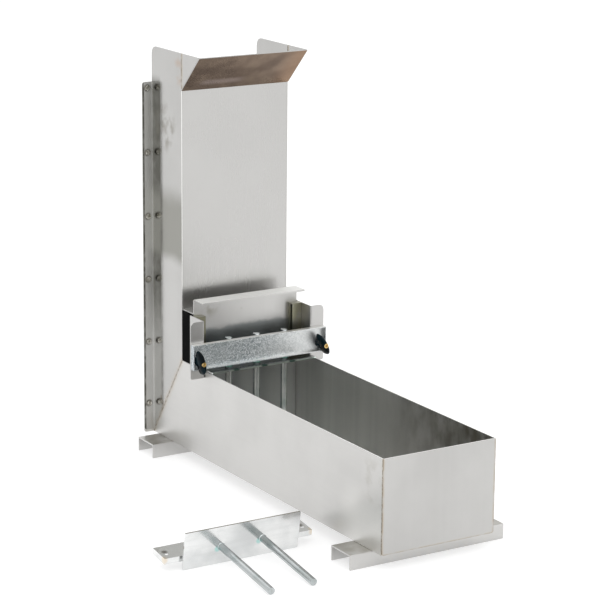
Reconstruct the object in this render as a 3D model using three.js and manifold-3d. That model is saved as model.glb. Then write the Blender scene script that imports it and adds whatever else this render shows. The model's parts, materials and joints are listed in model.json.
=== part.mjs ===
// Hopper feeder for farm animals, in millimetres, +Z up.
// A tall sheet-metal hopper feeds a long open trough through a slide gate. A comb of upright rods stands
// in the trough in front of the gate, clamped by two wing nuts. A second comb lies on the floor beside it.
//
// X runs across the trough, +X to the right. Y runs from the trough's front end back to the hopper.
// Distances below are from the trough's front face (Y), the centre line (X) and the floor (Z). The whole
// feeder is shifted at the end, so that the origin lies on the floor under the front foot's front leg.

import * as THREE from "three";
import { mergeVertices } from "three/addons/utils/BufferGeometryUtils.js";
import Module from "manifold-3d";

const wasm = await Module();
wasm.setup();

// ---------------------------------------------------------------- driving dimensions

const SHEET = 2;                 // thickness of the stainless sheets
const GAP = 0.3;                 // air between two pieces that touch
const WIDTH = 250;               // outside width of the trough and the hopper
const FLOOR_Z = 30;              // underside of the trough, which is the height of the feet
const TROUGH_TOP = 215;
const HOPPER_FRONT = 750;        // outside of the hopper's front panel
const HOPPER_BACK = 875;         // back of the hopper's side panels
const HOPPER_TOP = 850;
const LIP = 76;                  // how far the filling lip stands forward, and how tall it is

const HALF = WIDTH / 2;
const INSIDE = HALF - SHEET;     // inner face of the side panels
const FIT = INSIDE - GAP;        // half width of a sheet welded in between the side panels

const FOOT = { length: 344, width: 65, height: FLOOR_Z, sheet: 3, front: 32, rear: 791, lengths: 8 };

const BOTTOM_CORNER = 5;         // rounding of the trough front panel's bottom corners
const TOP_CORNER = 20;           // rounding of the hopper sides' top corners at the back
const SMALL_CORNER = 2;
const REAR_FLANGE = { width: 22, bottom: 36, top: 776, corner: 6 };
const REAR_SCREWS = { count: 6, first: 94, pitch: 134, fromSide: 12 };

const THROAT_TOP = 322;          // underside of the fold at the foot of the hopper's front panel
const GATE = { front: 705.3, bottom: 34, top: 353, halfWidth: 122.3 };
const GATE_LIP = { halfWidth: 120.5, depth: 37, hem: 4 };
const THROAT_BLOCK = { thickness: 14, gap: 0.6 };

const BRACKET = { front: 655, back: 712, bottom: 202, top: 320, flange: 30, bend: 4 };
const BRACKET_CORNERS = { top: 12, bottom: 4 };
const GUIDE = { front: 690, depth: 15, inner: 103, bottom: 221, top: BRACKET.top, lip: 7 };
const GUIDE_BOLT = { y: 698, z: 297, inner: 107 };

const ROD = { radius: 7, bottom: 34 };
const SHELF = { front: 628, back: 703, top: 218.6, sheet: 3, halfWidth: FIT };
const CROSSBAR = { halfLength: 157, bottom: 223.5, depth: 12 };
const FITTED_COMB = { rods: { left: -66, centre: 0, right: 66 }, rodTop: 277.5, crossbarTop: 275.5 };
const SPARE_COMB = { rods: { left: -44, right: 44 }, rodTop: 258, crossbarTop: 270 };
const SPARE_PLACE = { x: -312.7, y: 186 };
const STUD = { x: 144.5, z: 240, end: 627 };
const KNOB = { hubRadius: 9, turn: { left: 11, right: 27 } };
const WINGS = { front: 621, base: 641, span: 51, thickness: 15, fullness: 0.75 };
const BUSH = { radius: 4.8, front: 621.5, clearance: 0.1 };

const M6 = { radius: 3, headAcross: 10, headHeight: 4, nutHeight: 5, clearance: 3.3, pastNut: 2 };
const BLEND = 1;                 // how far one solid runs into the next where two are joined

// ---------------------------------------------------------------- materials

function metal(color, roughness, metalness = 1) {
  return new THREE.MeshStandardMaterial({ color, roughness, metalness });
}

const stainless = () => metal(0xb4b4b0, 0.35);
const galvanised = () => metal(0xb0b8ba, 0.45);
const zincPlated = () => metal(0xc2c0ba, 0.3);
const brass = () => metal(0xd8a648, 0.3);
const blackPlastic = () => metal(0x0e1113, 0.35, 0);

// ---------------------------------------------------------------- solids

function toSolid(geometry) {
  const bare = geometry.clone();
  bare.deleteAttribute("normal");
  bare.deleteAttribute("uv");
  const merged = mergeVertices(bare, 1e-4);
  return new wasm.Manifold(new wasm.Mesh({
    numProp: 3,
    vertProperties: Float32Array.from(merged.attributes.position.array),
    triVerts: Uint32Array.from(merged.index.array),
  }));
}

function toGeometry(solid) {
  const mesh = solid.getMesh();
  const geometry = new THREE.BufferGeometry();
  geometry.setAttribute("position", new THREE.BufferAttribute(mesh.vertProperties, 3));
  geometry.setIndex(new THREE.BufferAttribute(mesh.triVerts, 1));
  geometry.computeVertexNormals();
  return geometry;
}

function join(...geometries) {
  const solids = geometries.map(toSolid);
  return toGeometry(solids.reduce((sum, next) => sum.add(next)));
}

function cut(body, ...tools) {
  return toGeometry(tools.map(toSolid).reduce((left, tool) => left.subtract(tool), toSolid(body)));
}

function mirrorX(geometry) {
  const mirrored = geometry.clone().scale(-1, 1, 1);
  const index = mirrored.index.array;
  for (let i = 0; i < index.length; i += 3) {
    [index[i], index[i + 1]] = [index[i + 1], index[i]];
  }
  return mirrored;
}

// A closed outline from corners [u, v] or [u, v, radius]; a corner with a radius is rounded.
function outline(corners) {
  const shape = new THREE.Shape();
  corners.forEach(([u, v, radius = 0], i) => {
    const here = new THREE.Vector2(u, v);
    const towards = ([nextU, nextV]) => new THREE.Vector2(nextU, nextV).sub(here).setLength(radius).add(here);
    const before = towards(corners.at(i - 1));
    const after = towards(corners[(i + 1) % corners.length]);
    if (i === 0) shape.moveTo(before.x, before.y);
    else shape.lineTo(before.x, before.y);
    if (radius > 0) shape.quadraticCurveTo(u, v, after.x, after.y);
  });
  shape.closePath();
  return shape;
}

function withHoles(shape, radius, ...centres) {
  for (const [u, v] of centres) {
    shape.holes.push(new THREE.Path().absarc(u, v, radius, 0, 2 * Math.PI, true));
  }
  return shape;
}

function extrude(shape, depth, curveSegments = 6, steps = 1) {
  return new THREE.ExtrudeGeometry(shape, { depth, bevelEnabled: false, curveSegments, steps });
}

// The outline is drawn in Y and Z, and the sheet runs from x0 to x1.
function sheetYZ(shape, x0, x1, curveSegments, steps) {
  const turn = new THREE.Matrix4().set(0, 0, 1, x0, 1, 0, 0, 0, 0, 1, 0, 0, 0, 0, 0, 1);
  return extrude(shape, x1 - x0, curveSegments, steps).applyMatrix4(turn);
}

// The outline is drawn in X and Z, and the sheet runs from y0 to y1.
function sheetXZ(shape, y0, y1, curveSegments) {
  return extrude(shape, y1 - y0, curveSegments).rotateX(Math.PI / 2).translate(0, y1, 0);
}

// The outline is drawn in X and Y, and the sheet runs from z0 to z1.
function sheetXY(shape, z0, z1, curveSegments) {
  return extrude(shape, z1 - z0, curveSegments).translate(0, 0, z0);
}

function box(x0, x1, y0, y1, z0, z1) {
  const geometry = new THREE.BoxGeometry(x1 - x0, y1 - y0, z1 - z0);
  return geometry.translate((x0 + x1) / 2, (y0 + y1) / 2, (z0 + z1) / 2);
}

// The outline of a folded sheet: the path is its outer face, and the sheet lies on the path's left side.
function foldedOutline(path, thickness) {
  const points = path.map(([u, v]) => new THREE.Vector2(u, v));
  const inner = points.map((point, i) => {
    const normals = [];
    if (i > 0) normals.push(leftNormal(points[i - 1], point));
    if (i < points.length - 1) normals.push(leftNormal(point, points[i + 1]));
    const mean = normals.reduce((sum, n) => sum.add(n), new THREE.Vector2()).normalize();
    return point.clone().addScaledVector(mean, thickness / mean.dot(normals.at(-1).clone().normalize()));
  });
  return new THREE.Shape([...points, ...inner.reverse()]);
}

function leftNormal(from, to) {
  const along = to.clone().sub(from).normalize();
  return new THREE.Vector2(-along.y, along.x);
}

function rodAlongZ(radius, x, y, z0, z1, segments = 20) {
  return new THREE.CylinderGeometry(radius, radius, z1 - z0, segments)
    .rotateX(Math.PI / 2)
    .translate(x, y, (z0 + z1) / 2);
}

function rodAlongY(radius, x, z, y0, y1, segments = 16) {
  return new THREE.CylinderGeometry(radius, radius, y1 - y0, segments).translate(x, (y0 + y1) / 2, z);
}

function hexAlongY(across, x, z, y0, y1) {
  return rodAlongY(across / Math.sqrt(3), 0, 0, y0, y1, 6).translate(x, 0, z);
}

function addMesh(group, name, geometry, material) {
  const mesh = new THREE.Mesh(geometry, material);
  mesh.name = name;
  group.add(mesh);
}

// A piece of the right-hand side and its mirror image on the left.
function addPair(group, name, rightGeometry, material) {
  addMesh(group, `right_${name}`, rightGeometry, material());
  addMesh(group, `left_${name}`, mirrorX(indexed(rightGeometry)), material());
}

function indexed(geometry) {
  return geometry.index ? geometry : mergeVertices(geometry);
}

// ---------------------------------------------------------------- trough

// The side panels of the trough and the hopper meet on a slanted weld, from the inside corner under the
// hopper's front to the bottom corner at the back.
const SEAM_FRONT = [HOPPER_FRONT, TROUGH_TOP];
const SEAM_BACK = [HOPPER_BACK, FLOOR_Z];

function troughSide() {
  const front = SHEET + GAP;
  const shape = outline([[front, FLOOR_Z], SEAM_BACK, SEAM_FRONT, [front, TROUGH_TOP]]);
  return sheetYZ(shape, INSIDE, HALF);
}

function troughFrontPanel() {
  const shape = outline([
    [-HALF, FLOOR_Z, BOTTOM_CORNER], [HALF, FLOOR_Z, BOTTOM_CORNER],
    [HALF, TROUGH_TOP, SMALL_CORNER], [-HALF, TROUGH_TOP, SMALL_CORNER],
  ]);
  return sheetXZ(shape, 0, SHEET);
}

function troughFloor() {
  return box(-FIT, FIT, SHEET + GAP, HOPPER_BACK - SHEET - GAP, FLOOR_Z, FLOOR_Z + SHEET);
}

// ---------------------------------------------------------------- hopper

// One bent sheet: the side panel with its rounded top corner, and the flange that carries the rear panel.
function hopperSide() {
  const seamGap = GAP * 1.5;
  const panel = outline([
    [SEAM_FRONT[0] + seamGap, SEAM_FRONT[1]], [SEAM_BACK[0], SEAM_BACK[1] + seamGap],
    [HOPPER_BACK, HOPPER_TOP, TOP_CORNER], [HOPPER_FRONT, HOPPER_TOP],
    [HOPPER_FRONT, SEAM_FRONT[1] + seamGap],
  ]);
  const { width, bottom, top, corner } = REAR_FLANGE;
  const flange = withHoles(
    outline([[INSIDE, bottom], [HALF + width, bottom, corner], [HALF + width, top, corner], [INSIDE, top]]),
    M6.clearance, ...screwPlaces(1),
  );
  return join(sheetYZ(panel, INSIDE, HALF), sheetXZ(flange, HOPPER_BACK - SHEET, HOPPER_BACK));
}

function screwPlaces(side) {
  const { count, first, pitch, fromSide } = REAR_SCREWS;
  return Array.from({ length: count }, (_, i) => [side * (HALF + fromSide), first + i * pitch]);
}

// The gusset between the side panel and the sloping lip.
function lipCheek() {
  const front = HOPPER_FRONT - GAP;
  const behindLip = (SHEET + GAP) * Math.SQRT2;
  const shape = outline([
    [front, HOPPER_TOP - LIP + GAP + behindLip],
    [front, HOPPER_TOP],
    [HOPPER_FRONT - LIP + behindLip, HOPPER_TOP],
  ]);
  return sheetYZ(shape, INSIDE, HALF);
}

// One folded sheet: the lip that slopes forward at the top, the front panel, and the fold that reaches
// forward at its foot to close the throat above the gate. The lip is as wide as the hopper, and the panel
// fits in between the side panels.
function hopperFrontPanel() {
  const bend = HOPPER_TOP - LIP;
  const foldFront = GATE.front + SHEET + THROAT_BLOCK.gap;
  const foldTop = THROAT_TOP + SHEET;
  const slant = SHEET / Math.SQRT2;
  const lipEdge = [HOPPER_FRONT - LIP + slant, HOPPER_TOP - slant];
  const panelPath = [lipEdge, [HOPPER_FRONT, bend], [HOPPER_FRONT, foldTop], [foldFront, foldTop]];
  const panel = foldedOutline(panelPath, SHEET);
  const lip = outline([
    lipEdge, [HOPPER_FRONT - GAP, bend + GAP],
    [HOPPER_FRONT - GAP, bend + GAP + 2 * slant], [HOPPER_FRONT - LIP + 2 * slant, HOPPER_TOP],
  ]);
  return join(sheetYZ(panel, -FIT, FIT), sheetYZ(lip, -HALF, HALF));
}

function rearPanel() {
  const { width, top, corner } = REAR_FLANGE;
  const edge = HALF + width;
  const shape = withHoles(
    outline([[-edge, FLOOR_Z, corner], [edge, FLOOR_Z, corner], [edge, top, corner], [-edge, top, corner]]),
    M6.clearance, ...screwPlaces(1), ...screwPlaces(-1),
  );
  return sheetXZ(shape, HOPPER_BACK + GAP, HOPPER_BACK + GAP + SHEET);
}

// ---------------------------------------------------------------- feet

// An inverted channel across the feeder's underside. Its surface is divided along its length, so that the
// top of each end, where it stands clear of the trough's side, is a face of its own.
function foot(front) {
  const { width, height, sheet, length, lengths } = FOOT;
  const top = height - GAP;
  const back = front + width;
  const shape = outline([
    [front, 0], [front + sheet, 0], [front + sheet, top - sheet], [back - sheet, top - sheet],
    [back - sheet, 0], [back, 0], [back, top, SMALL_CORNER], [front, top, SMALL_CORNER],
  ]);
  return sheetYZ(shape, -length / 2, length / 2, 3, lengths);
}

// ---------------------------------------------------------------- fasteners

// A hexagon-head screw along Y, with its head at the front and its tip at the back.
function screwAlongY(x, z, headFront, tip) {
  const headBack = headFront + M6.headHeight;
  return join(
    hexAlongY(M6.headAcross, x, z, headFront, headBack),
    rodAlongY(M6.radius, x, z, headBack - BLEND, tip),
  );
}

function nutAlongY(x, z, front) {
  return cut(
    hexAlongY(M6.headAcross, x, z, front, front + M6.nutHeight),
    rodAlongY(M6.radius + GAP, x, z, front - BLEND, front + M6.nutHeight + BLEND),
  );
}

// The screw through the gate bracket into the guide rail, along X, with its head outside.
function guideBolt() {
  const face = HALF + GAP + SHEET + GAP;
  const alongY = join(
    hexAlongY(M6.headAcross, 0, 0, face, face + M6.headHeight),
    rodAlongY(M6.radius, 0, 0, GUIDE_BOLT.inner, face + BLEND),
  );
  return alongY.rotateZ(-Math.PI / 2).translate(0, GUIDE_BOLT.y, GUIDE_BOLT.z);
}

// ---------------------------------------------------------------- gate, guides and brackets

// One bent sheet beside the gate: a wall outside the trough's side panel, and a flange that turns outward
// in front, which the comb is clamped to.
function gateBracket() {
  const { front, back, bottom, top, flange, bend } = BRACKET;
  const inner = HALF + GAP;
  const outer = inner + SHEET;
  const wall = withHoles(
    outline([[front, bottom], [back, bottom], [back, top], [front, top]]),
    M6.clearance, [GUIDE_BOLT.y, GUIDE_BOLT.z],
  );
  const face = withHoles(
    outline([
      [inner, bottom], [outer + flange, bottom, BRACKET_CORNERS.bottom],
      [outer + flange, top, BRACKET_CORNERS.top], [inner, top],
    ]),
    M6.clearance, [STUD.x, STUD.z],
  );
  const sheet = join(sheetYZ(wall, inner, outer), sheetXZ(face, front, front + SHEET));
  return cut(sheet, outsideOfBend(inner, front, bend, bottom, top));
}

// What is cut off a sheet's square upright corner at (x, y) to round it, where the sheet lies beyond x and y.
function outsideOfBend(x, y, radius, z0, z1) {
  const shape = new THREE.Shape()
    .moveTo(x - BLEND, y - BLEND)
    .lineTo(x + radius, y - BLEND)
    .lineTo(x + radius, y)
    .quadraticCurveTo(x, y, x, y + radius)
    .lineTo(x - BLEND, y + radius);
  return sheetXY(shape, z0 - BLEND, z1 + BLEND);
}

// A small C-shaped rail, open towards the middle, with a closed top. The gate slides behind it.
function gateGuide() {
  const { front, depth, inner, bottom, top, lip } = GUIDE;
  const back = front + depth;
  const wall = SHEET;
  const section = outline([
    [inner, front], [HALF, front], [HALF, back], [inner, back], [inner, back - lip],
    [inner + wall, back - lip], [inner + wall, back - wall], [HALF - wall, back - wall],
    [HALF - wall, front + wall], [inner, front + wall],
  ]);
  const rail = join(
    sheetXY(section, bottom, top),
    box(inner, HALF, front, back, top - wall, top),
  );
  const hole = rodAlongY(M6.clearance, 0, 0, HALF - 2 * wall, HALF + BLEND)
    .rotateZ(-Math.PI / 2)
    .translate(0, GUIDE_BOLT.y, GUIDE_BOLT.z);
  return cut(rail, hole);
}

// The black plastic block that closes the side of the throat between the gate and the hopper.
function throatBlock() {
  const outer = HALF - GAP;
  return box(
    outer - THROAT_BLOCK.thickness, outer,
    GATE.front + SHEET + THROAT_BLOCK.gap, HOPPER_FRONT - GAP,
    TROUGH_TOP + 2 * GAP, THROAT_TOP - GAP,
  );
}

// A flat plate with a lip folded forward along its top as the handle, hemmed downward at its front edge.
function slideGate() {
  const { front, bottom, top, halfWidth } = GATE;
  const back = front + SHEET;
  const lipFront = back - GATE_LIP.depth;
  const plate = box(-halfWidth, halfWidth, front, back, bottom, top - SHEET / 2);
  const lip = foldedOutline([
    [back, top - 2 * GATE_LIP.hem], [back, top], [lipFront, top], [lipFront, top - GATE_LIP.hem],
  ], SHEET);
  return join(plate, sheetYZ(lip, -GATE_LIP.halfWidth, GATE_LIP.halfWidth));
}

// ---------------------------------------------------------------- combs

const WEB_BACK = BRACKET.front - GAP;
const WEB_FRONT = WEB_BACK - SHEET;
const ROD_Y = BRACKET.front + ROD.radius;

// A shallow tray on edge: a web with a rim turned forward all round, and a hole for a stud at each end.
function combCrossbar(top) {
  const { halfLength, bottom, depth } = CROSSBAR;
  const tray = box(-halfLength, halfLength, WEB_BACK - depth, WEB_BACK, bottom, top);
  const hollow = box(
    -halfLength + SHEET, halfLength - SHEET,
    WEB_BACK - depth - BLEND, WEB_FRONT,
    bottom + SHEET, top - SHEET,
  );
  const hole = (x) => rodAlongY(M6.clearance, x, STUD.z, WEB_FRONT - BLEND, WEB_BACK + BLEND);
  return cut(tray, hollow, hole(-STUD.x), hole(STUD.x));
}

function combShelf(rodPlaces) {
  const { front, back, top, sheet, halfWidth } = SHELF;
  const corners = [[-halfWidth, front], [halfWidth, front], [halfWidth, back], [-halfWidth, back]];
  const shape = withHoles(
    outline(corners.map(([u, v]) => [u, v, SMALL_CORNER])),
    ROD.radius + GAP, ...rodPlaces.map((x) => [x, ROD_Y]),
  );
  return sheetXY(shape, top - sheet, top, 10);
}

function addComb(group, prefix, { rods, rodTop, crossbarTop }) {
  addMesh(group, `${prefix}_crossbar`, combCrossbar(crossbarTop), galvanised());
  addMesh(group, `${prefix}_shelf_plate`, combShelf(Object.values(rods)), galvanised());
  for (const [side, x] of Object.entries(rods)) {
    const rod = rodAlongZ(ROD.radius, x, ROD_Y, ROD.bottom, rodTop);
    addMesh(group, `${prefix}_rod_${side}`, rod, zincPlated());
  }
}

// ---------------------------------------------------------------- wing nuts

// A round hub carries a fat oval head, clear of the crossbar's rim. It is drawn standing on Y = 0 with the
// head's long way along X, and is then turned and laid over so that it points forward.
function wingKnob(x, turnDegrees) {
  const base = WEB_FRONT - GAP;
  const headFoot = base - WINGS.base;
  const hub = new THREE.CylinderGeometry(KNOB.hubRadius, KNOB.hubRadius, headFoot + 2 * BLEND, 24)
    .translate(0, headFoot / 2 + BLEND, 0);
  const boreRadius = BUSH.radius + BUSH.clearance;
  const boreLength = 2 * (base - WINGS.front) + BLEND;
  const bore = new THREE.CylinderGeometry(boreRadius, boreRadius, boreLength, 20);
  return cut(join(hub, knobHead(headFoot)), bore)
    .rotateY(Math.PI / 2 + THREE.MathUtils.degToRad(turnDegrees))
    .rotateZ(Math.PI)
    .translate(x, base, STUD.z);
}

// A dome on an oval foot: full near the foot and flattened at the front.
function knobHead(foot) {
  const { front, base, span, thickness, fullness } = WINGS;
  const depth = base - front;
  const steps = 10;
  const dome = Array.from({ length: steps }, (_, i) => {
    const angle = (i / steps) * Math.PI / 2;
    return new THREE.Vector2(Math.cos(angle) ** fullness, foot + depth * Math.sin(angle) ** fullness);
  });
  const profile = [new THREE.Vector2(0, foot), ...dome, new THREE.Vector2(0, foot + depth)];
  return new THREE.LatheGeometry(profile, 32).scale(span / 2, 1, thickness / 2);
}

// The brass bush moulded into the knob: a plain ring, closed on itself.
function knobBush(x) {
  const base = WEB_FRONT - GAP;
  const inner = M6.radius + GAP;
  const ring = new THREE.LatheGeometry([
    new THREE.Vector2(inner, BUSH.front),
    new THREE.Vector2(BUSH.radius, BUSH.front),
    new THREE.Vector2(BUSH.radius, base),
    new THREE.Vector2(inner, base),
    new THREE.Vector2(inner, BUSH.front),
  ], 20);
  return toGeometry(toSolid(ring)).translate(x, 0, STUD.z);
}

// The stud: a screw from behind the flange, through the flange and the crossbar, into the wing nut.
function combStud(x) {
  const headFront = BRACKET.front + SHEET + GAP;
  return join(
    hexAlongY(M6.headAcross, x, STUD.z, headFront, headFront + M6.headHeight),
    rodAlongY(M6.radius, x, STUD.z, STUD.end, headFront + BLEND),
  );
}

// ---------------------------------------------------------------- the feeder

const feeder = new THREE.Group();

addPair(feeder, "trough_side", troughSide(), stainless);
addMesh(feeder, "trough_front_panel", troughFrontPanel(), stainless());
addMesh(feeder, "trough_floor", troughFloor(), stainless());
addPair(feeder, "hopper_side", hopperSide(), stainless);
addPair(feeder, "lip_cheek", lipCheek(), stainless);
addMesh(feeder, "hopper_front_panel", hopperFrontPanel(), stainless());
addMesh(feeder, "rear_panel", rearPanel(), stainless());
addMesh(feeder, "front_foot", foot(FOOT.front), stainless());
addMesh(feeder, "rear_foot", foot(FOOT.rear), stainless());

for (const [side, sign] of [["left", -1], ["right", 1]]) {
  screwPlaces(sign).forEach(([x, z], i) => {
    const headFront = HOPPER_BACK - SHEET - GAP - M6.headHeight;
    const nutFront = HOPPER_BACK + 2 * GAP + SHEET;
    const tip = nutFront + M6.nutHeight + M6.pastNut;
    addMesh(feeder, `${side}_rear_screw_${i + 1}`, screwAlongY(x, z, headFront, tip), zincPlated());
    addMesh(feeder, `${side}_rear_nut_${i + 1}`, nutAlongY(x, z, nutFront), zincPlated());
  });
}

addPair(feeder, "gate_bracket", gateBracket(), stainless);
addPair(feeder, "gate_guide", gateGuide(), stainless);
addPair(feeder, "guide_bolt", guideBolt(), zincPlated);
addPair(feeder, "throat_block", throatBlock(), blackPlastic);
addMesh(feeder, "slide_gate", slideGate(), stainless());

addComb(feeder, "comb", FITTED_COMB);
addPair(feeder, "comb_stud", combStud(STUD.x), zincPlated);
addPair(feeder, "knob_bush", knobBush(STUD.x), brass);
addMesh(feeder, "left_wing_knob", wingKnob(-STUD.x, KNOB.turn.left), blackPlastic());
addMesh(feeder, "right_wing_knob", wingKnob(STUD.x, KNOB.turn.right), blackPlastic());

// The spare comb lies on the floor on its back: it rests on the front edge of its shelf plate and on the
// tips of its rods, so it tips forward by a few degrees.
const shelfUnderside = SHELF.top - SHELF.sheet;
const rodsAboveEdge = ROD_Y - ROD.radius - SHELF.front;
const rodsBelowShelf = shelfUnderside - ROD.bottom;
const lying = new THREE.Group();
lying.position.set(SPARE_PLACE.x, SPARE_PLACE.y, 0);
lying.rotation.x = Math.atan2(rodsAboveEdge, rodsBelowShelf);

const turned = new THREE.Group();
turned.rotation.set(Math.PI / 2, 0, Math.PI, "ZYX");

const spareComb = new THREE.Group();
spareComb.position.set(0, -SHELF.front, -shelfUnderside);
addComb(spareComb, "spare_comb", SPARE_COMB);
turned.add(spareComb);
lying.add(turned);
feeder.add(lying);

feeder.position.y = -(FOOT.front + FOOT.sheet / 2);

export default feeder;
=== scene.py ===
"""A stainless hopper feeder with a slide gate and two rod combs, around its CAD frame, in metres.

The CAD nodes keep their shape and get bevelled edges and procedural materials. Weld beads and the threads of
the rear screws are added. X runs across the trough, +Y from its front end back to the hopper, +Z up.
"""
import json
import math

import bmesh
import bpy
from mathutils import Matrix, Vector


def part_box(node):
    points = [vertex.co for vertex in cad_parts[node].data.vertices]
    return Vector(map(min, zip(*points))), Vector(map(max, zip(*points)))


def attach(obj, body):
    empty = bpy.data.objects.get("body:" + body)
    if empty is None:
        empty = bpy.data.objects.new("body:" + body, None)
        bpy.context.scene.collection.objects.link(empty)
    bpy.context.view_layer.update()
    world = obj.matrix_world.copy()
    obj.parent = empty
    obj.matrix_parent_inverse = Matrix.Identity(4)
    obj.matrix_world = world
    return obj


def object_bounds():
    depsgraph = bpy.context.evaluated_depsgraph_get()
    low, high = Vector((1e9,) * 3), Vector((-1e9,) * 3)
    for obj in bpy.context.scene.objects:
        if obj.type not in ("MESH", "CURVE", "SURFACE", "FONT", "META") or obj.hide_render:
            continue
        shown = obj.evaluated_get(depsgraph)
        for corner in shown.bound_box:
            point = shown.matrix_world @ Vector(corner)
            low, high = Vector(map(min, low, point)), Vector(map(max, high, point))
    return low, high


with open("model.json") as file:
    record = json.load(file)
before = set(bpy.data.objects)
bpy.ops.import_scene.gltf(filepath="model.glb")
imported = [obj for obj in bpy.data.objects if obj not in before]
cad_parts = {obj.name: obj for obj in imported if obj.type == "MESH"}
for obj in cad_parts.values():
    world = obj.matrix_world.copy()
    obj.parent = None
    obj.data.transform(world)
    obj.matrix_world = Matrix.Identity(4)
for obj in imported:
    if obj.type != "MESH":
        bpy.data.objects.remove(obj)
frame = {"nodes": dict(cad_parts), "record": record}
cad_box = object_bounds()

MM = 0.001
nodes = frame["nodes"]
slot_of = {part["node"]: part["material_slot"] for part in frame["record"]["subparts"]}


# ------------------------------------------------------------------ places read from the frame

side_low, side_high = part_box("right_trough_side")
hopper_low, hopper_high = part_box("right_hopper_side")
front_low, front_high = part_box("trough_front_panel")
shelf_low, shelf_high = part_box("comb_shelf_plate")
bracket_low, bracket_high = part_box("right_gate_bracket")
rod_low, rod_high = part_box("comb_rod_centre")

HALF = side_high.x                 # half the feeder's width, at the side panels' outer faces
INSIDE = side_low.x                # the side panels' inner faces
SHEET = HALF - INSIDE              # the sheets' thickness
TROUGH_TOP = side_high.z
TROUGH_BOTTOM = side_low.z
TROUGH_FRONT = front_low.y
HOPPER_FRONT = hopper_low.y
HOPPER_BACK = hopper_high.y
HOPPER_TOP = hopper_high.z
FLANGE_EDGE = hopper_high.x        # the outer edge of the hopper side's flange
LIP_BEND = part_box("right_lip_cheek")[0].z      # where the hopper's front bends out into the filling lip
GATE_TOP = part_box("slide_gate")[1].z
GATE_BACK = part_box("slide_gate")[1].y
ROD_RADIUS = (rod_high.x - rod_low.x) / 2
COMB_RODS = ("left", "centre", "right")
SPARE_COMB_RODS = ("left", "right")
SCREW_NUMBERS = range(1, 7)        # down each flange

# The two ends of the mitre seam between a trough side and a hopper side.
SEAM_LOW = Vector((0, HOPPER_BACK, TROUGH_BOTTOM))
SEAM_HIGH = Vector((0, HOPPER_FRONT, TROUGH_TOP))

UPWARD = Vector((0, 0, 1))
FORWARD = Vector((0, -1, 0))
BACKWARD = Vector((0, 1, 0))


# ------------------------------------------------------------------ colours

STEEL_LIGHT = (0.528, 0.523, 0.511)
STEEL_DARK = (0.475, 0.470, 0.459)
# A pale steel that is painted light, laid on faces that would otherwise be too dark.
PAINTED_LIGHT_STEEL = (0.93, 0.92, 0.885)
# A pale matt grey for cut edges, also painted light on faces that look up or towards the light.
CUT_EDGE_AND_PAINTED_LIGHT = (0.88, 0.88, 0.86)
DARK_EDGE = (0.10, 0.085, 0.065)
STRAW = (0.47, 0.40, 0.29)
BROWN = (0.20, 0.15, 0.105)
OLIVE = (0.30, 0.29, 0.20)
DARK_OLIVE = (0.17, 0.157, 0.12)
RUST = (0.42, 0.27, 0.17)
SMUDGE = (0.30, 0.285, 0.235)
# A near black that is a painted reflection beside the hopper's flange and painted shade along the flange's
# outer edge.
DARK_REFLECTION_AND_SHADE = (0.12, 0.118, 0.103)
# A dull grey that is a painted reflection across the middle of the hopper's side.
REFLECTION_GREY = (0.255, 0.253, 0.23)
# A dark blue-grey: darker zinc towards the crossbar's left, and a painted reflection on the gate's lower
# part.
DARK_BLUE_GREY = (0.17, 0.21, 0.22)
PALE_ZINC = (0.66, 0.67, 0.66)
GREEN_ZINC = (0.24, 0.60, 0.56)
# A dark green that is painted shade on the shelf in front of the comb's rods.
DARK_SHADE_GREEN = (0.03, 0.16, 0.11)
PALE_GREEN = (0.80, 0.92, 0.88)
YELLOW_ZINC = (0.74, 0.55, 0.30)
BRONZE = (0.20, 0.145, 0.105)
DARK_BRONZE = (0.115, 0.078, 0.056)
ORANGE_BRONZE = (0.36, 0.22, 0.13)
# A pale bronze that is a painted highlight on the lip's underside.
PAINTED_HIGHLIGHT_BRONZE = (0.33, 0.26, 0.235)


# ------------------------------------------------------------------ directions of rolling and drawing lines

UPRIGHT = (1, 1, 0.02)
LENGTHWISE = (1, 0.02, 1)
CROSSWISE = (0.02, 1, 1)


# ------------------------------------------------------------------ material building blocks

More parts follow.
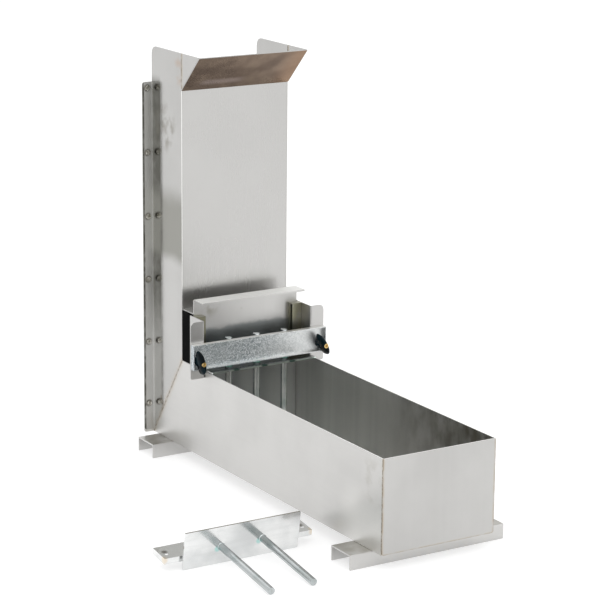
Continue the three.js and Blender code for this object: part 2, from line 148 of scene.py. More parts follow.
class Graph:
    """One material's node tree, with short ways to add nodes. Textures read object coordinates in metres."""

    def __init__(self, name):
        self.material = bpy.data.materials.new(name)
        self.material.use_nodes = True
        self.tree = self.material.node_tree
        self.tree.nodes.clear()
        output = self.tree.nodes.new("ShaderNodeOutputMaterial")
        self.shader = self.tree.nodes.new("ShaderNodeBsdfPrincipled")
        self.link(self.shader.outputs[0], output.inputs["Surface"])
        self.where = self.tree.nodes.new("ShaderNodeTexCoord").outputs["Object"]

    def link(self, source, socket):
        """Joins an output socket to an input socket."""
        self.tree.links.new(source, socket)

    def put(self, socket, value):
        """Feeds an input from another node's output, or sets it to a fixed value."""
        if isinstance(value, bpy.types.NodeSocket):
            self.link(value, socket)
        else:
            socket.default_value = value

    def math(self, operation, a, b=0.0, c=0.0):
        """A sum on up to three numbers. MULTIPLY_ADD is a times b, plus c."""
        node = self.tree.nodes.new("ShaderNodeMath")
        node.operation = operation
        for socket, value in zip(node.inputs, (a, b, c)):
            self.put(socket, value)
        return node.outputs[0]

    def product(self, first, *others):
        """All the factors multiplied together."""
        result = first
        for factor in others:
            result = self.math("MULTIPLY", result, factor)
        return result

    def vector(self, operation, a, b):
        """A sum on two vectors, whose result is a number for DOT_PRODUCT and LENGTH."""
        node = self.tree.nodes.new("ShaderNodeVectorMath")
        node.operation = operation
        self.put(node.inputs[0], a)
        self.put(node.inputs[1], b)
        return node.outputs["Value" if operation in ("DOT_PRODUCT", "LENGTH") else "Vector"]

    def fade(self, value, start, end, low=0.0, high=1.0):
        """Smoothly from low, where value is start or less, to high, where it is end or more."""
        node = self.tree.nodes.new("ShaderNodeMapRange")
        node.interpolation_type = "SMOOTHSTEP"
        for name, number in (("From Min", start), ("From Max", end), ("To Min", low), ("To Max", high)):
            node.inputs[name].default_value = number
        self.put(node.inputs["Value"], value)
        return node.outputs["Result"]

    def noise(self, scale, detail=2.0, stretch=(1, 1, 1)):
        """Cloudy noise from 0 to 1; a small stretch factor along an axis draws it out along that axis."""
        node = self.tree.nodes.new("ShaderNodeTexNoise")
        node.inputs["Scale"].default_value = scale
        node.inputs["Detail"].default_value = detail
        self.put(node.inputs["Vector"], self.vector("MULTIPLY", self.where, stretch))
        return node.outputs["Fac"]

    def cells(self, scale):
        """A random grey for each crystal of a Voronoi pattern."""
        node = self.tree.nodes.new("ShaderNodeTexVoronoi")
        node.inputs["Scale"].default_value = scale
        self.put(node.inputs["Vector"], self.where)
        split = self.tree.nodes.new("ShaderNodeSeparateColor")
        self.link(node.outputs["Color"], split.inputs[0])
        return split.outputs[0]

    def mix(self, factor, a, b):
        """Colour a where the factor is 0, and colour b where it is 1."""
        node = self.tree.nodes.new("ShaderNodeMix")
        node.data_type = "RGBA"
        self.put(node.inputs["Factor"], factor)
        for socket, colour in ((node.inputs["A"], a), (node.inputs["B"], b)):
            self.put(socket, (*colour, 1.0) if isinstance(colour, tuple) else colour)
        return node.outputs["Result"]

    def position(self, axis):
        """The X, Y or Z of the place that is shaded, in metres."""
        node = self.tree.nodes.new("ShaderNodeSeparateXYZ")
        self.link(self.where, node.inputs[0])
        return node.outputs[axis]

    def away_from_plane(self, point, normal):
        """Distance in metres from a plane."""
        along = self.vector("DOT_PRODUCT", self.where, tuple(normal.normalized()))
        return self.math("ABSOLUTE", self.math("SUBTRACT", along, point.dot(normal.normalized())))

    def facing(self, direction):
        """1 on the faces that look in this direction, and 0 on the rest."""
        normal = self.tree.nodes.new("ShaderNodeNewGeometry").outputs["Normal"]
        return self.fade(self.vector("DOT_PRODUCT", normal, tuple(direction.normalized())), 0.8, 0.95)

    def bump(self, height, distance, strength=1.0):
        """Fine relief: a height from 0 to 1, over a depth in metres."""
        node = self.tree.nodes.new("ShaderNodeBump")
        node.inputs["Strength"].default_value = strength
        node.inputs["Distance"].default_value = distance
        self.link(height, node.inputs["Height"])
        self.link(node.outputs[0], self.shader.inputs["Normal"])

    def finish(self, colour, roughness, metallic=1.0):
        """Sets the surface and gives back the finished material."""
        self.put(self.shader.inputs["Base Color"], colour)
        self.put(self.shader.inputs["Roughness"], roughness)
        self.put(self.shader.inputs["Metallic"], metallic)
        return self.material


def heat_tint(graph, colour, distance, width, amount):
    """Straw and then brown towards a weld, broken up along it."""
    broken = graph.noise(55, 3)
    near = graph.fade(distance, 0.0, width, 1.0, 0.0)
    strength = graph.math("MULTIPLY", near, graph.fade(broken, 0.3, 0.62, 0.25, 1.0))
    straw = graph.math("MULTIPLY", strength, amount)
    colour = graph.mix(straw, colour, STRAW)
    brown = graph.math("MULTIPLY", graph.fade(distance, 0.0, width * 0.45, 1.0, 0.0), straw)
    return graph.mix(brown, colour, BROWN)


def spot(graph, colour, centre, radius, tone, amount):
    """A discoloured spot around a point."""
    offset = graph.vector("SUBTRACT", graph.where, tuple(centre))
    away = graph.vector("LENGTH", offset, (0, 0, 0))
    return graph.mix(graph.fade(away, 0.4 * radius, radius, amount, 0.0), colour, tone)


def stain(graph, colour, centre, radius, tone, amount):
    """A spot that is broken up into blotches."""
    stained = spot(graph, colour, centre, radius, tone, amount)
    return graph.mix(graph.fade(graph.noise(38, 5), 0.44, 0.66), colour, stained)


def banded(graph, colour, bands):
    """Lays bands over a colour. Each band takes the graph and gives its strength and its colour."""
    for band in bands:
        strength, tone = band(graph)
        colour = graph.mix(strength, colour, tone)
    return colour


def steel_sheet(name, grain=UPRIGHT, tints=(), stains=(), spots=(), tone=1.0, edge=None, bands=(),
                over_bands=(), polish=1.0):
    """Cold-rolled stainless sheet: soft cloudy shading, fine rolling lines, and heat tint by the welds.

    The faces that look towards edge are matt and painted bright, a cut edge's colour that is also painted
    light on the faces that catch the light; only over_bands and spots cover them. Each stain and spot is a
    centre, a radius, a colour and a strength. A polish under 1 makes the sheet more like a mirror. A tone
    above or below 1 gives a
    lighter or darker copy of the sheet: painted light and shade for how brightly each part is lit.
    """
    graph = Graph(name)
    clouds = graph.noise(7, 4)
    lines = graph.noise(420, 2, grain)
    broad_lines = graph.noise(60, 2, grain)
    light = tuple(tone * c for c in STEEL_LIGHT)
    dark = tuple(tone * c for c in STEEL_DARK)
    colour = graph.mix(graph.fade(clouds, 0.3, 0.7), dark, light)
    colour = graph.mix(graph.fade(broad_lines, 0.35, 0.75, 0.0, 0.25), colour, light)
    colour = banded(graph, colour, bands)
    for point, normal, width, amount in tints:
        colour = heat_tint(graph, colour, graph.away_from_plane(point, normal), width, amount)
    for centre, radius, stain_tone, amount in stains:
        colour = stain(graph, colour, centre, radius, stain_tone, amount)
    roughness = graph.math("MULTIPLY_ADD", lines, 0.12, graph.fade(clouds, 0.25, 0.75, 0.25, 0.33))
    roughness = graph.math("MULTIPLY", roughness, polish)
    if edge:
        on_edge = graph.facing(edge)
        # Painted light: the faces that look towards edge take the pale cut-edge colour.
        colour = graph.mix(on_edge, colour, CUT_EDGE_AND_PAINTED_LIGHT)
        roughness = graph.math("MULTIPLY_ADD", on_edge, 0.25, roughness)
    colour = banded(graph, colour, over_bands)
    for place in spots:
        colour = spot(graph, colour, *place)
    graph.bump(graph.math("MULTIPLY_ADD", lines, 0.05, graph.noise(5, 1)), 0.6 * MM)
    return graph.finish(colour, roughness)


def galvanised(name):
    """Hot-dip galvanised steel: blue-grey crystals of zinc, 1 and 2.5 mm across.

    It is darker towards the left, and the crystals fade into a smooth pale zinc towards the right. The faces
    that look up are painted bright, a painted light.
    """
    graph = Graph(name)
    dark_crystal = (0.27, 0.32, 0.34)
    pale_crystal = (0.96, 0.98, 1.0)
    film = (0.72, 0.75, 0.76)
    large = graph.cells(420)
    small = graph.cells(1000)
    flecks = graph.math("MULTIPLY_ADD", large, 0.55, graph.math("MULTIPLY", small, 0.45))
    colour = graph.mix(graph.fade(flecks, 0.25, 0.75), dark_crystal, pale_crystal)
    colour = graph.mix(graph.fade(graph.noise(9, 2), 0.35, 0.7, 0.1, 0.5), colour, film)
    dull = graph.fade(graph.position("X"), -0.6 * HALF, HALF, 0.7, 0.0)
    dull = graph.math("MULTIPLY", dull, graph.fade(small, 0.25, 0.75, 1.0, 0.2))
    colour = graph.mix(dull, colour, DARK_BLUE_GREY)
    smooth = graph.fade(graph.position("X"), -0.2 * HALF, HALF, 0.0, 0.8)
    colour = graph.mix(smooth, colour, PALE_ZINC)
    flecks = graph.math("MULTIPLY", flecks, graph.math("SUBTRACT", 1.0, smooth))
    # Painted light: the faces that look up are painted bright.
    colour = graph.mix(graph.facing(UPWARD), colour, CUT_EDGE_AND_PAINTED_LIGHT)
    graph.bump(flecks, 0.12 * MM, 0.6)
    return graph.finish(colour, graph.math("MULTIPLY_ADD", flecks, 0.15, 0.4))


def cloudy_zinc(name, top_edge, spots, front_edge=None):
    """Zinc without crystals: pale, cloudy and smooth, with coloured edges and spots."""
    graph = Graph(name)
    grey = (0.66, 0.67, 0.67)
    pale = (0.84, 0.845, 0.84)
    streak_grey = (0.52, 0.53, 0.52)
    clouds = graph.noise(16, 5)
    streaks = graph.noise(90, 3, (0.1, 1, 1))
    colour = graph.mix(graph.fade(clouds, 0.3, 0.7), grey, pale)
    colour = graph.mix(graph.fade(streaks, 0.45, 0.75, 0.0, 0.2), colour, streak_grey)
    colour = graph.mix(graph.facing(UPWARD), colour, top_edge)
    if front_edge:
        colour = graph.mix(graph.facing(FORWARD), colour, front_edge)
    for place in spots:
        colour = spot(graph, colour, *place)
    graph.bump(clouds, 0.3 * MM, 0.3)
    return graph.finish(colour, graph.math("MULTIPLY_ADD", clouds, 0.12, 0.08))


def zinc_plated(name, grain=(1, 1, 0.03), tone=1.0):
    """Bright zinc plating with drawing lines along the metal and a faint greenish cast.

    The faces that look up and to the right are dark, a painted reflection; the broad dark streaks along the
    metal are painted reflections too.
    """
    graph = Graph(name)
    bright = tuple(tone * c for c in (0.78, 0.82, 0.83))
    greenish = tuple(tone * c for c in (0.52, 0.61, 0.61))
    painted_reflection_grey = (0.36, 0.38, 0.37)
    dark = (0.14, 0.14, 0.13)
    lines = graph.noise(700, 2, grain)
    colour = graph.mix(graph.fade(graph.noise(22, 3), 0.42, 0.7), bright, greenish)
    # Painted reflection: broad dark streaks along the metal.
    broad_lines = graph.fade(graph.noise(110, 2, grain), 0.42, 0.6, 0.0, 0.55)
    colour = graph.mix(broad_lines, colour, painted_reflection_grey)
    # Painted reflection: the faces that look up and to the right are darkened.
    upper_right_reflection = graph.math("MULTIPLY", graph.facing(Vector((0.55, 0, 0.8))), 0.8)
    colour = graph.mix(upper_right_reflection, colour, dark)
    graph.bump(lines, 0.05 * MM, 0.5)
    return graph.finish(colour, graph.math("MULTIPLY_ADD", lines, 0.12, 0.14))


def green_zinc(name):
    """Dark green passivated zinc on the welds round the fitted comb's rods."""
    graph = Graph(name)
    deep_green = (0.04, 0.15, 0.11)
    grey_green = (0.18, 0.34, 0.28)
    patches = graph.fade(graph.noise(300, 3), 0.35, 0.65)
    colour = graph.mix(patches, deep_green, grey_green)
    graph.bump(graph.noise(900, 2), 0.1 * MM, 0.5)
    return graph.finish(colour, graph.math("MULTIPLY_ADD", patches, -0.1, 0.35))


def screw_metal(name):
    """Zinc-plated screws and nuts, with patches of olive dirt."""
    graph = Graph(name)
    bright = (0.84, 0.82, 0.77)
    olive_dirt = (0.26, 0.25, 0.20)
    dirt = graph.fade(graph.noise(300, 4), 0.4, 0.65)
    colour = graph.mix(dirt, bright, olive_dirt)
    graph.bump(graph.noise(900, 2), 0.05 * MM, 0.4)
    return graph.finish(colour, graph.math("MULTIPLY_ADD", dirt, 0.25, 0.22))


def brass(name):
    """Bright brass with fine lines along the bush."""
    graph = Graph(name)
    orange = (0.86, 0.55, 0.19)
    yellow = (0.96, 0.76, 0.36)
    lines = graph.noise(1500, 2, (1, 0.05, 1))
    colour = graph.mix(graph.fade(lines, 0.35, 0.65), orange, yellow)
    graph.bump(lines, 0.03 * MM, 0.5)
    return graph.finish(colour, graph.math("MULTIPLY_ADD", lines, 0.15, 0.15))


def black_plastic(name):
    """Moulded nylon: near black, with a fine matt skin that is polished in places, where a blue-black painted
    sheen lies.
    """
    graph = Graph(name)
    black = (0.002, 0.003, 0.004)
    painted_sheen_blue_black = (0.003, 0.011, 0.015)
    skin = graph.noise(1600, 3)
    polish = graph.fade(graph.noise(45, 3), 0.4, 0.65)
    colour = graph.mix(polish, black, painted_sheen_blue_black)
    graph.bump(skin, 0.04 * MM, 0.3)
    graph.shader.inputs["Specular IOR Level"].default_value = 0.06
    return graph.finish(colour, graph.math("MULTIPLY_ADD", polish, -0.1, 0.22), metallic=0.0)


def black_block(name):
    """The throat blocks' dull black plastic, scuffed grey in places."""
    graph = Graph(name)
    black = (0.004, 0.004, 0.004)
    scuffed = (0.016, 0.016, 0.015)
    scuffs = graph.fade(graph.noise(60, 4, (1, 1, 0.3)), 0.5, 0.75)
    colour = graph.mix(scuffs, black, scuffed)
    graph.bump(graph.noise(700, 3), 0.06 * MM, 0.4)
    graph.shader.inputs["Specular IOR Level"].default_value = 0.01
    return graph.finish(colour, graph.math("MULTIPLY_ADD", scuffs, 0.15, 0.6), metallic=0.0)


def weld_metal(name):
    """A weld bead: brown oxide with silvery patches."""
    graph = Graph(name)
    oxide = (0.28, 0.25, 0.21)
    silvery = (0.50, 0.48, 0.44)
    patches = graph.fade(graph.noise(160, 4), 0.4, 0.65)
    colour = graph.mix(patches, oxide, silvery)
    graph.bump(graph.noise(900, 3), 0.2 * MM, 0.5)
    return graph.finish(colour, graph.math("MULTIPLY_ADD", patches, -0.15, 0.5))


# ------------------------------------------------------------------ the materials of this feeder

# The tone given to each sheet below makes a lighter or darker copy of one stainless: painted light and shade
# for how brightly that part is lit.
SEAM_NORMAL = Vector((0, TROUGH_TOP - TROUGH_BOTTOM, HOPPER_BACK - HOPPER_FRONT))

# Heat tints by the welds: a point of the weld, the direction away from it, the tint's width and its strength.
MITRE_TINT = (SEAM_HIGH, SEAM_NORMAL, 12 * MM, 0.35)
CHEEK_TINT = (Vector((0, HOPPER_FRONT, 0)), BACKWARD, 9 * MM, 0.8)
CORNER_TINT = (Vector((0, TROUGH_FRONT, 0)), BACKWARD, 6 * MM, 0.7)


def away_from_middle(graph):
    """Distance in metres to either side of the feeder's middle."""
    return graph.math("ABSOLUTE", graph.position("X"))


def on_inner_face(graph):
    """1 on the inner faces of the side panels, and 0 on their outer faces."""
    return graph.fade(away_from_middle(graph), INSIDE + 0.2 * MM, INSIDE + 0.6 * MM, 1.0, 0.0)


def inside_the_trough(graph):
    """The trough's inner faces, painted paler than the outside except at the front, in faint upright streaks:
    painted light.
    """
    streaks = graph.fade(graph.noise(45, 3, (1, 1, 0.04)), 0.35, 0.7, 0.8, 1.0)
    towards_the_back = graph.fade(graph.position("Y"), TROUGH_FRONT + 50 * MM, TROUGH_FRONT + 500 * MM)
    return graph.product(on_inner_face(graph), streaks, towards_the_back), PAINTED_LIGHT_STEEL


def olive_blotches(graph):
    """Blotches on the trough's inner faces, towards its front end and its top."""
    near_front = graph.fade(graph.position("Y"), TROUGH_FRONT + 80 * MM, TROUGH_FRONT + 420 * MM, 0.85, 0.0)
    near_top = graph.fade(graph.position("Z"), TROUGH_BOTTOM + 30 * MM, TROUGH_TOP, 0.4, 1.0)
    blotches = graph.fade(graph.noise(38, 5, (1, 1, 0.6)), 0.28, 0.68, 0.15, 1.0)
    return graph.product(on_inner_face(graph), near_front, near_top, blotches), DARK_OLIVE


def inside_the_hopper(graph):
    """The hopper's inner faces, painted paler than the outside below the filling lip: painted light."""
    below_the_lip = graph.fade(graph.position("Z"), LIP_BEND - 60 * MM, LIP_BEND - 20 * MM, 1.0, 0.0)
    return graph.product(on_inner_face(graph), below_the_lip), PAINTED_LIGHT_STEEL


def painted_light_front_corner(graph):
    """The outer face, painted paler towards its front end and its foot: painted light."""
    outer = graph.math("SUBTRACT", 1.0, on_inner_face(graph))
    near_front = graph.fade(graph.position("Y"), TROUGH_FRONT + 80 * MM, TROUGH_FRONT + 160 * MM, 0.45, 0.0)
    near_foot = graph.fade(graph.position("Z"), TROUGH_BOTTOM + 40 * MM, TROUGH_TOP - 50 * MM, 1.0, 0.0)
    return graph.product(outer, near_front, near_foot), PAINTED_LIGHT_STEEL


def trough_side_material():
    """Has a smudge near the front end of the left side."""
    smudge = (Vector((-HALF, TROUGH_FRONT + 30 * MM, 160 * MM)), 60 * MM, SMUDGE, 0.25)
    return steel_sheet("trough_side_steel", grain=LENGTHWISE, edge=UPWARD, tints=[MITRE_TINT, CORNER_TINT],
                       bands=[inside_the_trough, olive_blotches, painted_light_front_corner], stains=[smudge],
                       tone=1.11)


def painted_reflection_beside_the_bend(graph):
    """A darker blotchy strip beside the flange, up to the filling lip and fainter at its foot: a painted
    reflection of the flange.
    """
    start = HOPPER_BACK - 38 * MM
    across = graph.fade(graph.position("Y"), start, start + 4 * MM)
    on_the_side = graph.fade(away_from_middle(graph), HALF + 2 * MM, HALF + 4 * MM, 1.0, 0.0)
    top = graph.fade(graph.position("Z"), LIP_BEND - 15 * MM, LIP_BEND + 20 * MM, 1.0, 0.0)
    foot = graph.fade(graph.position("Z"), TROUGH_TOP - 20 * MM, TROUGH_TOP + 150 * MM, 0.1, 1.0)
    blotches = graph.fade(graph.noise(42, 4), 0.25, 0.6, 0.75, 1.0)
    return graph.product(across, on_the_side, top, foot, blotches), DARK_REFLECTION_AND_SHADE


def painted_reflection_across_the_middle(graph):
    """A wide darker band half way down the hopper's side, with cloudy edges: a painted reflection."""
    band_low = 420 * MM
    band_high = 600 * MM
    height = graph.math("ADD", graph.position("Z"), graph.math("MULTIPLY", graph.noise(18, 3), 30 * MM))
    above = graph.fade(height, band_low, band_low + 30 * MM)
    below = graph.fade(height, band_high - 60 * MM, band_high, 1.0, 0.0)
    return graph.product(above, below, 0.95), REFLECTION_GREY


def flange_edge(graph):
    """The flange, greyer than the side, and dark along its outer edge, where the dark is a painted shadow of
    the gap by the rear panel.
    """
    flange = graph.fade(away_from_middle(graph), HALF + 1 * MM, HALF + 3 * MM, 0.0, 0.22)
    outer = graph.fade(away_from_middle(graph), FLANGE_EDGE - 4.5 * MM, FLANGE_EDGE - 2 * MM)
    patches = graph.fade(graph.noise(50, 3), 0.25, 0.6, 0.6, 1.0)
    return graph.math("MAXIMUM", flange, graph.math("MULTIPLY", outer, patches)), DARK_REFLECTION_AND_SHADE


def dark_round_rear_screws():
    """A dark spot on the left flange round each of its screws."""
    for number in SCREW_NUMBERS:
        low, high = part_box(f"left_rear_screw_{number}")
        centre = Vector(((low.x + high.x) / 2, HOPPER_BACK - SHEET, (low.z + high.z) / 2))
        yield centre, 10 * MM, DARK_EDGE, 0.9


def hopper_side_material():
    """Has stains on the left side: high by the flange, by the filling lip, and low by the mitre seam."""
    stains = [
        (Vector((-HALF, HOPPER_BACK - 55 * MM, 690 * MM)), 60 * MM, DARK_OLIVE, 0.55),
        (Vector((-HALF, HOPPER_FRONT + 10 * MM, LIP_BEND + 35 * MM)), 35 * MM, RUST, 0.4),
        (Vector((-HALF, HOPPER_FRONT + 80 * MM, TROUGH_BOTTOM + 80 * MM)), 20 * MM, BROWN, 0.9),
    ]
    bands = [painted_reflection_beside_the_bend, painted_reflection_across_the_middle, inside_the_hopper]
    return steel_sheet("hopper_side_steel", edge=FORWARD, tints=[MITRE_TINT], bands=bands, stains=stains,
                       over_bands=[flange_edge], spots=dark_round_rear_screws(), tone=0.90, polish=0.45)


def trough_front_material():
    """Tinted along the welds at its two sides and its foot."""
    sides = [(Vector((side * HALF, 0, 0)), Vector((1, 0, 0)), 6 * MM, 0.6) for side in (-1, 1)]
    bottom = (Vector((0, 0, TROUGH_BOTTOM)), UPWARD, 4 * MM, 0.5)
    return steel_sheet("trough_front_steel", edge=UPWARD, tints=[*sides, bottom])


def bronze_lip(graph):
    """Cloudy brown, more orange towards the right, with a pale streak low on the left that is a painted
    highlight.
    """
    x = graph.position("X")
    height = graph.position("Z")
    colour = graph.mix(graph.fade(graph.noise(24, 5), 0.3, 0.7), DARK_BRONZE, BRONZE)
    colour = graph.mix(graph.fade(x, 0.5 * HALF, HALF, 0.0, 0.5), colour, ORANGE_BRONZE)
    streak = graph.product(
        graph.fade(height, LIP_BEND + 4 * MM, LIP_BEND + 12 * MM),
        graph.fade(height, LIP_BEND + 14 * MM, LIP_BEND + 22 * MM, 1.0, 0.0),
        graph.fade(x, -0.8 * HALF, -0.6 * HALF),
        graph.fade(x, -0.1 * HALF, 0.15 * HALF, 0.6, 0.0),
    )
    return graph.mix(streak, colour, PAINTED_HIGHLIGHT_BRONZE)


def front_panel_material():
    """The hopper's front: light steel, and a lip whose underside is brown and polished."""
    graph = Graph("hopper_front_steel")
    clouds = graph.noise(5, 4)
    lines = graph.noise(420, 2, UPRIGHT)
    steel = graph.mix(graph.fade(clouds, 0.3, 0.7, 0.4, 1.0), STEEL_DARK, STEEL_LIGHT)
    # Painted light: the faces that look back into the hopper are painted pale.
    steel = graph.mix(graph.facing(BACKWARD), steel, PAINTED_LIGHT_STEEL)
    above_bend = graph.fade(graph.position("Z"), LIP_BEND - 8 * MM, LIP_BEND - 5 * MM)
    under_lip = graph.product(graph.facing(FORWARD - UPWARD), above_bend)
    colour = graph.mix(under_lip, steel, bronze_lip(graph))
    roughness = graph.math("MULTIPLY_ADD", lines, 0.1, graph.fade(clouds, 0.25, 0.75, 0.2, 0.28))
    graph.bump(graph.math("MULTIPLY_ADD", lines, 0.05, graph.noise(5, 1)), 0.6 * MM)
    return graph.finish(colour, roughness)


def cheek_material():
    return steel_sheet("lip_cheek_steel", tints=[CHEEK_TINT])


def painted_reflection_below_the_gate(graph):
    """The gate's lower part, a darker blue-grey up to a cloudy line: a painted reflection."""
    line = 300 * MM
    height = graph.math("MULTIPLY_ADD", graph.noise(28, 4), 24 * MM, graph.position("Z"))
    return graph.fade(height, line - 4 * MM, line + 4 * MM, 0.52, 0.0), DARK_BLUE_GREY


def gate_material():
    """Has two smudges along the foot of the gate's lip."""
    lip_foot = GATE_TOP - 12 * MM
    smudges = [
        (Vector((-90 * MM, GATE_BACK, lip_foot)), 35 * MM, SMUDGE, 0.6),
        (Vector((-20 * MM, GATE_BACK, lip_foot)), 30 * MM, SMUDGE, 0.6),
    ]
    return steel_sheet("gate_steel", edge=UPWARD, stains=smudges, bands=[painted_reflection_below_the_gate], tone=1.10)


def towards_the_hopper(graph):
    """The rear panel's inner face, painted as pale as the hopper's others: painted light."""
    return graph.facing(FORWARD), PAINTED_LIGHT_STEEL


def towards_the_feed(graph):
    """The trough floor's upper face, painted a little paler than its underside: painted light."""
    return graph.math("MULTIPLY", graph.facing(UPWARD), 0.35), PAINTED_LIGHT_STEEL


def rear_panel_material():
    return steel_sheet("rear_panel_steel", bands=[towards_the_hopper])


def trough_floor_material():
    return steel_sheet("trough_floor_steel", grain=LENGTHWISE, bands=[towards_the_feed])


def sheet_material():
    return steel_sheet("plain_steel", grain=CROSSWISE)


def dirty_top(graph):
    """Darker patches on the faces that look up."""
    patches = graph.fade(graph.noise(30, 4), 0.3, 0.65, 0.0, 0.6)
    return graph.math("MULTIPLY", graph.facing(UPWARD), patches), SMUDGE


def olive_film(graph):
    """A patchy film over the guide rails."""
    return graph.fade(graph.noise(40, 3), 0.3, 0.6, 0.5, 0.9), OLIVE


def guide_material():
    return steel_sheet("guide_steel", bands=[olive_film], tone=0.75)


def foot_material():
    return steel_sheet("foot_steel", grain=CROSSWISE, bands=[dirty_top], tone=1.12)


def spare_rod_exits():
    """Where each rod of the spare comb leaves its plate, and the direction in which it leaves."""
    plate_low, plate_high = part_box("spare_comb_shelf_plate")
    middle_of_plate = (plate_low + plate_high) / 2
    half_thickness = (shelf_high.z - shelf_low.z) / 2
    for rod in SPARE_COMB_RODS:
        low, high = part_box(f"spare_comb_rod_{rod}")
        # The box of a tilted rod is about as tall as the rod's rise and its thickness together.
        tilt = math.atan2(high.z - low.z - 2 * ROD_RADIUS, high.y - low.y)
        direction = Vector((0, -math.cos(tilt), -math.sin(tilt)))
        top_end = Vector(((low.x + high.x) / 2, high.y - ROD_RADIUS * math.sin(tilt),
                          high.z - ROD_RADIUS * math.cos(tilt)))
        reach = (middle_of_plate - top_end).dot(direction) + half_thickness
        yield top_end + direction * reach, direction


def spare_comb_spots():
    """Green zinc to the lower left of each rod's weld."""
    for exit_point, _ in spare_rod_exits():
        yield exit_point + Vector((-8 * MM, 0, -3 * MM)), 8 * MM, GREEN_ZINC, 0.6


def spare_crossbar_spots():
    """Yellowed cut ends, and dark rims round the two holes: painted shade of the holes' dark insides."""
    low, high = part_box("spare_comb_crossbar")
    middle_y = (low.y + high.y) / 2
    stud_low, stud_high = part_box("right_comb_stud")
    hole_inset = (high.x - low.x) / 2 - (stud_low.x + stud_high.x) / 2
    for end, inward in ((low.x, 1), (high.x, -1)):
        yield Vector((end, low.y + 4 * MM, high.z - 10 * MM)), 10 * MM, YELLOW_ZINC, 0.4
        # Painted shade round each hole.
        yield Vector((end + inward * hole_inset, middle_y, high.z)), 9 * MM, DARK_EDGE, 0.8


def painted_shade_round_the_rods():
    """Dark green painted shade on the shelf's front edge, in front of each of the fitted comb's rods."""
    for rod in COMB_RODS:
        low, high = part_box(f"comb_rod_{rod}")
        yield Vector(((low.x + high.x) / 2, shelf_low.y, shelf_high.z)), 10 * MM, DARK_SHADE_GREEN, 0.8


# ------------------------------------------------------------------ which node has which material

screws = screw_metal("screw_metal")
weld = weld_metal("weld_metal")
green_weld = green_zinc("green_zinc_weld")

by_slot = {
    "stainless_sheet": sheet_material(),
    "galvanised_sheet": galvanised("galvanised_sheet"),
    "zinc_plated_steel": zinc_plated("zinc_plated_rod"),
    "black_plastic": black_plastic("black_plastic"),
    "brass": brass("brass"),
}
by_node = {
    "hopper_front_panel": front_panel_material(),
    "trough_front_panel": trough_front_material(),
    "slide_gate": gate_material(),
    "rear_panel": rear_panel_material(),
    "trough_floor": trough_floor_material(),
    "spare_comb_shelf_plate": cloudy_zinc("spare_plate_zinc", SMUDGE, spare_comb_spots()),
    "spare_comb_crossbar": cloudy_zinc("spare_crossbar_zinc", PALE_ZINC, spare_crossbar_spots()),
    "comb_shelf_plate": cloudy_zinc("shelf_plate_zinc", PALE_ZINC, painted_shade_round_the_rods(), PALE_GREEN),
}
by_ending = {
    "_trough_side": trough_side_material(),
    "_hopper_side": hopper_side_material(),
    "_lip_cheek": cheek_material(),
    "_gate_guide": guide_material(),
    "_foot": foot_material(),
    "_throat_block": black_block("throat_block_plastic"),
}
# The spare comb's rods are a darker copy of the same zinc plating: painted shade.
spare_rod = zinc_plated("zinc_plated_spare_rod", grain=(1, 0.03, 1), tone=0.62)


def material_of(name):
    """The material of this node alone, of its kind of piece, or else of its slot."""
    if name in by_node:
        return by_node[name]
    if any(word in name for word in ("screw", "nut", "bolt", "stud")):
        return screws
    if name.startswith("spare_comb_rod"):
        return spare_rod
    for ending, material in by_ending.items():
        if name.endswith(ending):
            return material
    return by_slot[slot_of[name]]


# ------------------------------------------------------------------ the CAD nodes' edges

# The bevel on the pieces of each material slot, in millimetres.
BEVEL = {
    "stainless_sheet": 0.35,
    "galvanised_sheet": 0.4,
    "zinc_plated_steel": 0.4,
    "black_plastic": 0.9,
    "brass": 0.3,
}


def soften(piece, width, angle):
    """Bevels the edges that turn by more than the angle, and shades curved faces smoothly."""
    piece.data.shade_smooth()
    weld_points = piece.modifiers.new("join", "WELD")
    weld_points.merge_threshold = 0.005 * MM
    bevel = piece.modifiers.new("edges", "BEVEL")
    bevel.width = width
    bevel.segments = 2
    bevel.limit_method = "ANGLE"
    bevel.angle_limit = math.radians(angle)
    bevel.harden_normals = True


def sharp_angle(name):
    """How far an edge turns, in degrees, before it is bevelled: further on the wing knobs' coarse curves."""
    return 60 if name.endswith("wing_knob") else 35


def clear_stored_normals(piece):
    """Drops the normals that came with the import, so that the bevels shade properly."""
    stored = piece.data.attributes.get("custom_normal")
    if stored:
        piece.data.attributes.remove(stored)


for name, piece in nodes.items():
    clear_stored_normals(piece)
    soften(piece, BEVEL[slot_of[name]] * MM, sharp_angle(name))
    piece.data.materials.clear()
    piece.data.materials.append(material_of(name))


# ------------------------------------------------------------------ added pieces

def new_piece(name, mesh_maker, body, material):
    """Builds a mesh with bmesh, gives it a material, and lets it ride on a body."""
    mesh = bpy.data.meshes.new(name)
    built = bmesh.new()
    mesh_maker(built)
    bmesh.ops.recalc_face_normals(built, faces=built.faces)
    built.to_mesh(mesh)
    built.free()
    mesh.shade_smooth()
    piece = bpy.data.objects.new(name, mesh)
    bpy.context.scene.collection.objects.link(piece)
    piece.data.materials.append(material)
    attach(piece, body)


